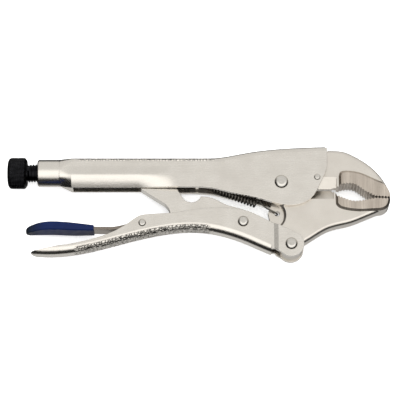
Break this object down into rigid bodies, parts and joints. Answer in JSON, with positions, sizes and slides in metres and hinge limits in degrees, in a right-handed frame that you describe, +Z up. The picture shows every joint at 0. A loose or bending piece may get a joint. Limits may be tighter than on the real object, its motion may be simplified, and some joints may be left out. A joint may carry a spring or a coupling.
{
  "type": "locking pliers",
  "caption": "Curved-jaw locking pliers with wire cutter, folded steel handles, toggle link, tension spring, knurled adjusting screw and sleeved release lever.",
  "frame": {"origin": "bottom centre of the tool lying on its side with the jaws shut", "axes": "+X towards the jaws, +Y from the lever handle towards the fixed handle, +Z up through the tool's thickness"},
  "size_m": [0.2499, 0.075, 0.0206],
  "materials": {
    "nickel_plated_sheet": "satin nickel plate on pressed sheet",
    "nickel_plated_forging": "nickel plate on a shot-blasted forging, pads ground",
    "polished_rivet": "bright nickel",
    "black_oxide_steel": "black oxide",
    "spring_steel": "oiled drawn wire",
    "blue_vinyl": "dipped vinyl"
  },
  "bodies": {
    "handle_frame": {"fixed_handle": "nickel_plated_sheet", "fixed_jaw": "nickel_plated_forging", "jaw_pin": "polished_rivet", "main_rivet": "polished_rivet", "jaw_spring": "spring_steel"},
    "jaw": {"moving_jaw": "nickel_plated_forging"},
    "lever": {"lever_handle": "nickel_plated_sheet", "lever_rivet": "polished_rivet", "toggle_rivet": "polished_rivet", "release_rivet": "polished_rivet"},
    "toggle": {"toggle_link": "nickel_plated_sheet"},
    "release": {"release_lever": "nickel_plated_sheet", "release_grip": "blue_vinyl"},
    "screw": {"adjusting_screw": "black_oxide_steel"},
    "knob": {"screw_knob": "black_oxide_steel"}
  },
  "joints": [
    {"name": "handle_swing", "type": "hinge", "parent": "jaw", "child": "lever", "pos_m": [0.06, -0.02925, 0.0103], "axis": [0, 0, 1], "range_deg": [0, 57.78]},
    {"name": "jaw_swing", "type": "hinge", "parent": "handle_frame", "child": "jaw", "pos_m": [0.054, 0.01275, 0.0103], "axis": [0, 0, -1], "range_deg": [0, 18.01], "deforming": ["jaw_spring"]},
    {"name": "toggle_swing", "type": "hinge", "parent": "lever", "child": "toggle", "pos_m": [0.029, -0.01385, 0.0103], "axis": [0, 0, -1], "range_deg": [0, 64.1]},
    {"name": "release_press", "type": "hinge", "parent": "lever", "child": "release", "pos_m": [-0.0365, -0.01475, 0.0103], "axis": [0, 0, 1], "range_deg": [0, 5]},
    {"name": "screw_travel", "type": "slide", "parent": "handle_frame", "child": "screw", "axis": [-1, 0, 0], "range_m": [0, 0.012]},
    {"name": "screw_turn", "type": "hinge", "parent": "screw", "child": "knob", "pos_m": [-0.115, 0.02125, 0.0103], "axis": [-1, 0, 0], "range_deg": [0, 2470]}
  ],
  "couplings": [
    {"joint": "jaw_swing", "follows": "handle_swing", "ratio": 0.31153},
    {"joint": "toggle_swing", "follows": "handle_swing", "ratio": 1.109},
    {"joint": "screw_turn", "follows": "screw_travel", "rad_per_m": 3590.4}
  ]
}
